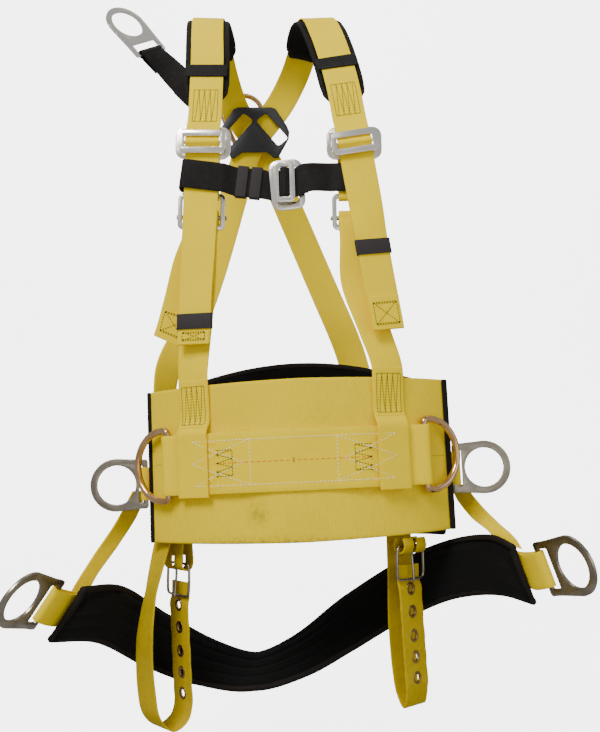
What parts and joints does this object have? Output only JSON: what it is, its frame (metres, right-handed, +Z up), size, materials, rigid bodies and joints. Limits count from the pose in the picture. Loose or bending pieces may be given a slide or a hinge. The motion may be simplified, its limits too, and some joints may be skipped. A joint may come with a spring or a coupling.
{
  "type": "safety harness",
  "caption": "Full body safety harness with belly panel, padded shoulders, waist rings, sling seat, leg straps and a dorsal ring extension.",
  "frame": {"origin": "centre of the wearer's waist, level with the middle of the waist belt", "axes": "+Z up the wearer, -Y the way the wearer faces, +X towards the wearer's left"},
  "size_m": [0.674, 0.4233, 1.0968],
  "materials": {
    "yellow_webbing": "woven",
    "black_webbing": "woven",
    "black_padding": "padded",
    "black_plastic": "moulded",
    "plated_steel": "zinc plated",
    "stamped_steel": "satin",
    "forged_ring": "bronze coloured plating on steel",
    "brass_grommet": "aged"
  },
  "bodies": {
    "harness": {"adjuster_frame_left": "plated_steel", "adjuster_frame_right": "plated_steel", "belly_panel": "yellow_webbing", "chest_frame": "plated_steel", "chest_strap_left": "black_webbing", "chest_strap_right": "black_webbing", "dorsal_pad": "black_plastic", "front_belt": "yellow_webbing", "hip_loop_left": "yellow_webbing", "hip_loop_right": "yellow_webbing", "link_strap_left": "yellow_webbing", "link_strap_right": "yellow_webbing", "lumbar_pad": "black_padding", "rear_belt": "yellow_webbing", "riser_strap_left": "yellow_webbing", "riser_strap_right": "yellow_webbing", "shoulder_pad_left": "black_padding", "shoulder_pad_right": "black_padding", "shoulder_strap_left": "yellow_webbing", "shoulder_strap_right": "yellow_webbing", "torso_buckle_left": "plated_steel", "torso_buckle_right": "plated_steel"},
    "adjuster_link_left": {"adjuster_link_left": "plated_steel"},
    "adjuster_link_right": {"adjuster_link_right": "plated_steel"},
    "chest_link": {"chest_link": "plated_steel"},
    "torso_bar_left": {"torso_bar_left": "stamped_steel"},
    "torso_bar_right": {"torso_bar_right": "stamped_steel"},
    "tail_keeper_left": {"tail_keeper_left": "black_webbing"},
    "tail_keeper_right": {"tail_keeper_right": "black_webbing"},
    "chest_keeper_1": {"chest_keeper_1": "black_webbing"},
    "chest_keeper_2": {"chest_keeper_2": "black_webbing"},
    "front_ring_left": {"front_ring_left": "forged_ring"},
    "front_ring_right": {"front_ring_right": "forged_ring"},
    "hip_ring_left": {"hip_ring_left": "stamped_steel"},
    "hip_ring_right": {"hip_ring_right": "stamped_steel"},
    "dorsal_ring": {"dorsal_ring": "forged_ring"},
    "extension": {"extension_strap": "black_webbing"},
    "extension_ring": {"extension_ring": "plated_steel"},
    "seat": {"seat_pad": "black_padding", "seat_webbing": "yellow_webbing", "seat_hanger_left": "yellow_webbing", "seat_hanger_right": "yellow_webbing"},
    "seat_ring_left": {"seat_ring_left": "stamped_steel"},
    "seat_ring_right": {"seat_ring_right": "stamped_steel"},
    "leg_left": {"leg_strap_left": "yellow_webbing", "leg_buckle_frame_left": "stamped_steel", "leg_buckle_loop_left": "yellow_webbing", "grommet_left_1": "brass_grommet", "grommet_left_2": "brass_grommet", "grommet_left_3": "brass_grommet", "grommet_left_4": "brass_grommet"},
    "leg_right": {"leg_strap_right": "yellow_webbing", "leg_buckle_frame_right": "stamped_steel", "leg_buckle_loop_right": "yellow_webbing", "grommet_right_1": "brass_grommet", "grommet_right_2": "brass_grommet", "grommet_right_3": "brass_grommet", "grommet_right_4": "brass_grommet"},
    "leg_tongue_left": {"leg_tongue_left": "stamped_steel"},
    "leg_tongue_right": {"leg_tongue_right": "stamped_steel"}
  },
  "joints": [
    {"name": "adjuster_link_left_tilt", "type": "hinge", "parent": "harness", "child": "adjuster_link_left", "pos_m": [-0.128, -0.09865, 0.4136], "axis": [1, 0, 0], "range_deg": [-8, 8]},
    {"name": "torso_bar_left_slide", "type": "slide", "parent": "harness", "child": "torso_bar_left", "axis": [0.02, 0, 0.9998], "range_m": [0, 0.0035]},
    {"name": "adjuster_link_right_tilt", "type": "hinge", "parent": "harness", "child": "adjuster_link_right", "pos_m": [0.0716, -0.09865, 0.4136], "axis": [0.9874, 0, 0.158], "range_deg": [-8, 8]},
    {"name": "torso_bar_right_slide", "type": "slide", "parent": "harness", "child": "torso_bar_right", "axis": [-0.02, 0, 0.9998], "range_m": [0, 0.0035]},
    {"name": "tail_keeper_left_slide", "type": "slide", "parent": "harness", "child": "tail_keeper_left", "axis": [0.005, 0.0167, 0.9998], "range_m": [-0.008, 0.015]},
    {"name": "tail_keeper_right_slide", "type": "slide", "parent": "harness", "child": "tail_keeper_right", "axis": [-0.1635, 0.0174, 0.9864], "range_m": [-0.025, 0.002]},
    {"name": "chest_link_tilt", "type": "hinge", "parent": "harness", "child": "chest_link", "pos_m": [-0.02015, -0.11115, 0.3555], "axis": [0.03, 0, -0.9996], "range_deg": [-5, 8]},
    {"name": "chest_keeper_1_slide", "type": "slide", "parent": "harness", "child": "chest_keeper_1", "axis": [0.9926, -0.0402, -0.1142], "range_m": [-0.002, 0.002]},
    {"name": "chest_keeper_2_slide", "type": "slide", "parent": "harness", "child": "chest_keeper_2", "axis": [0.9926, -0.0402, -0.1142], "range_m": [-0.002, 0.001]},
    {"name": "front_ring_left_swing", "type": "hinge", "parent": "harness", "child": "front_ring_left", "pos_m": [-0.16869, -0.07239, -0.00766], "axis": [-0.0454, 0, 0.999], "range_deg": [0, 140]},
    {"name": "hip_ring_left_swing", "type": "hinge", "parent": "harness", "child": "hip_ring_left", "pos_m": [-0.21078, 0.004, -0.03159], "axis": [-0.0454, 0, 0.999], "range_deg": [0, 45]},
    {"name": "front_ring_right_swing", "type": "hinge", "parent": "harness", "child": "front_ring_right", "pos_m": [0.1597, -0.0786, 0.00725], "axis": [0.0454, 0, -0.999], "range_deg": [0, 140]},
    {"name": "hip_ring_right_swing", "type": "hinge", "parent": "harness", "child": "hip_ring_right", "pos_m": [0.21269, 0.004, -0.01036], "axis": [0.0454, 0, -0.999], "range_deg": [0, 45]},
    {"name": "dorsal_ring_swing", "type": "hinge", "parent": "harness", "child": "dorsal_ring", "pos_m": [-0.073, 0.1744, 0.524], "axis": [-0.9063, 0, -0.4226], "range_deg": [0, 60]},
    {"name": "extension_swing", "type": "hinge", "parent": "dorsal_ring", "child": "extension", "pos_m": [-0.12234, 0.1894, 0.58495], "axis": [0.4848, 0, 0.8746], "range_deg": [-12, 12]},
    {"name": "extension_ring_swing", "type": "hinge", "parent": "extension", "child": "extension_ring", "pos_m": [-0.246, 0.178, 0.672], "axis": [0.5955, 0.6145, 0.5175], "range_deg": [-45, 45]},
    {"name": "seat_swing", "type": "hinge", "parent": "harness", "child": "seat", "pos_m": [-0.002, 0.044, -0.0375], "axis": [0.9998, 0, 0.0201], "range_deg": [0, 35]},
    {"name": "seat_ring_left_swing", "type": "hinge", "parent": "seat", "child": "seat_ring_left", "pos_m": [-0.30224, -0.13202, -0.17319], "axis": [0.5348, 0.0514, 0.8434], "range_deg": [-30, 30]},
    {"name": "seat_ring_right_swing", "type": "hinge", "parent": "seat", "child": "seat_ring_right", "pos_m": [0.29575, -0.12588, -0.13198], "axis": [-0.3249, 0.0508, 0.9444], "range_deg": [-30, 30]},
    {"name": "leg_left_swing", "type": "hinge", "parent": "harness", "child": "leg_left", "pos_m": [-0.161, -0.06, -0.111], "axis": [-1, 0, 0], "range_deg": [0, 40]},
    {"name": "leg_tongue_left_swing", "type": "hinge", "parent": "leg_left", "child": "leg_tongue_left", "pos_m": [-0.161, -0.02, -0.135], "axis": [-0.6222, 0.7828, 0], "range_deg": [0, 40]},
    {"name": "leg_right_swing", "type": "hinge", "parent": "harness", "child": "leg_right", "pos_m": [0.141, -0.06, -0.118], "axis": [-1, 0, 0], "range_deg": [0, 40]},
    {"name": "leg_tongue_right_swing", "type": "hinge", "parent": "leg_right", "child": "leg_tongue_right", "pos_m": [0.141, -0.0645, -0.109], "axis": [-0.7021, -0.7121, 0], "range_deg": [0, 40]}
  ]
}
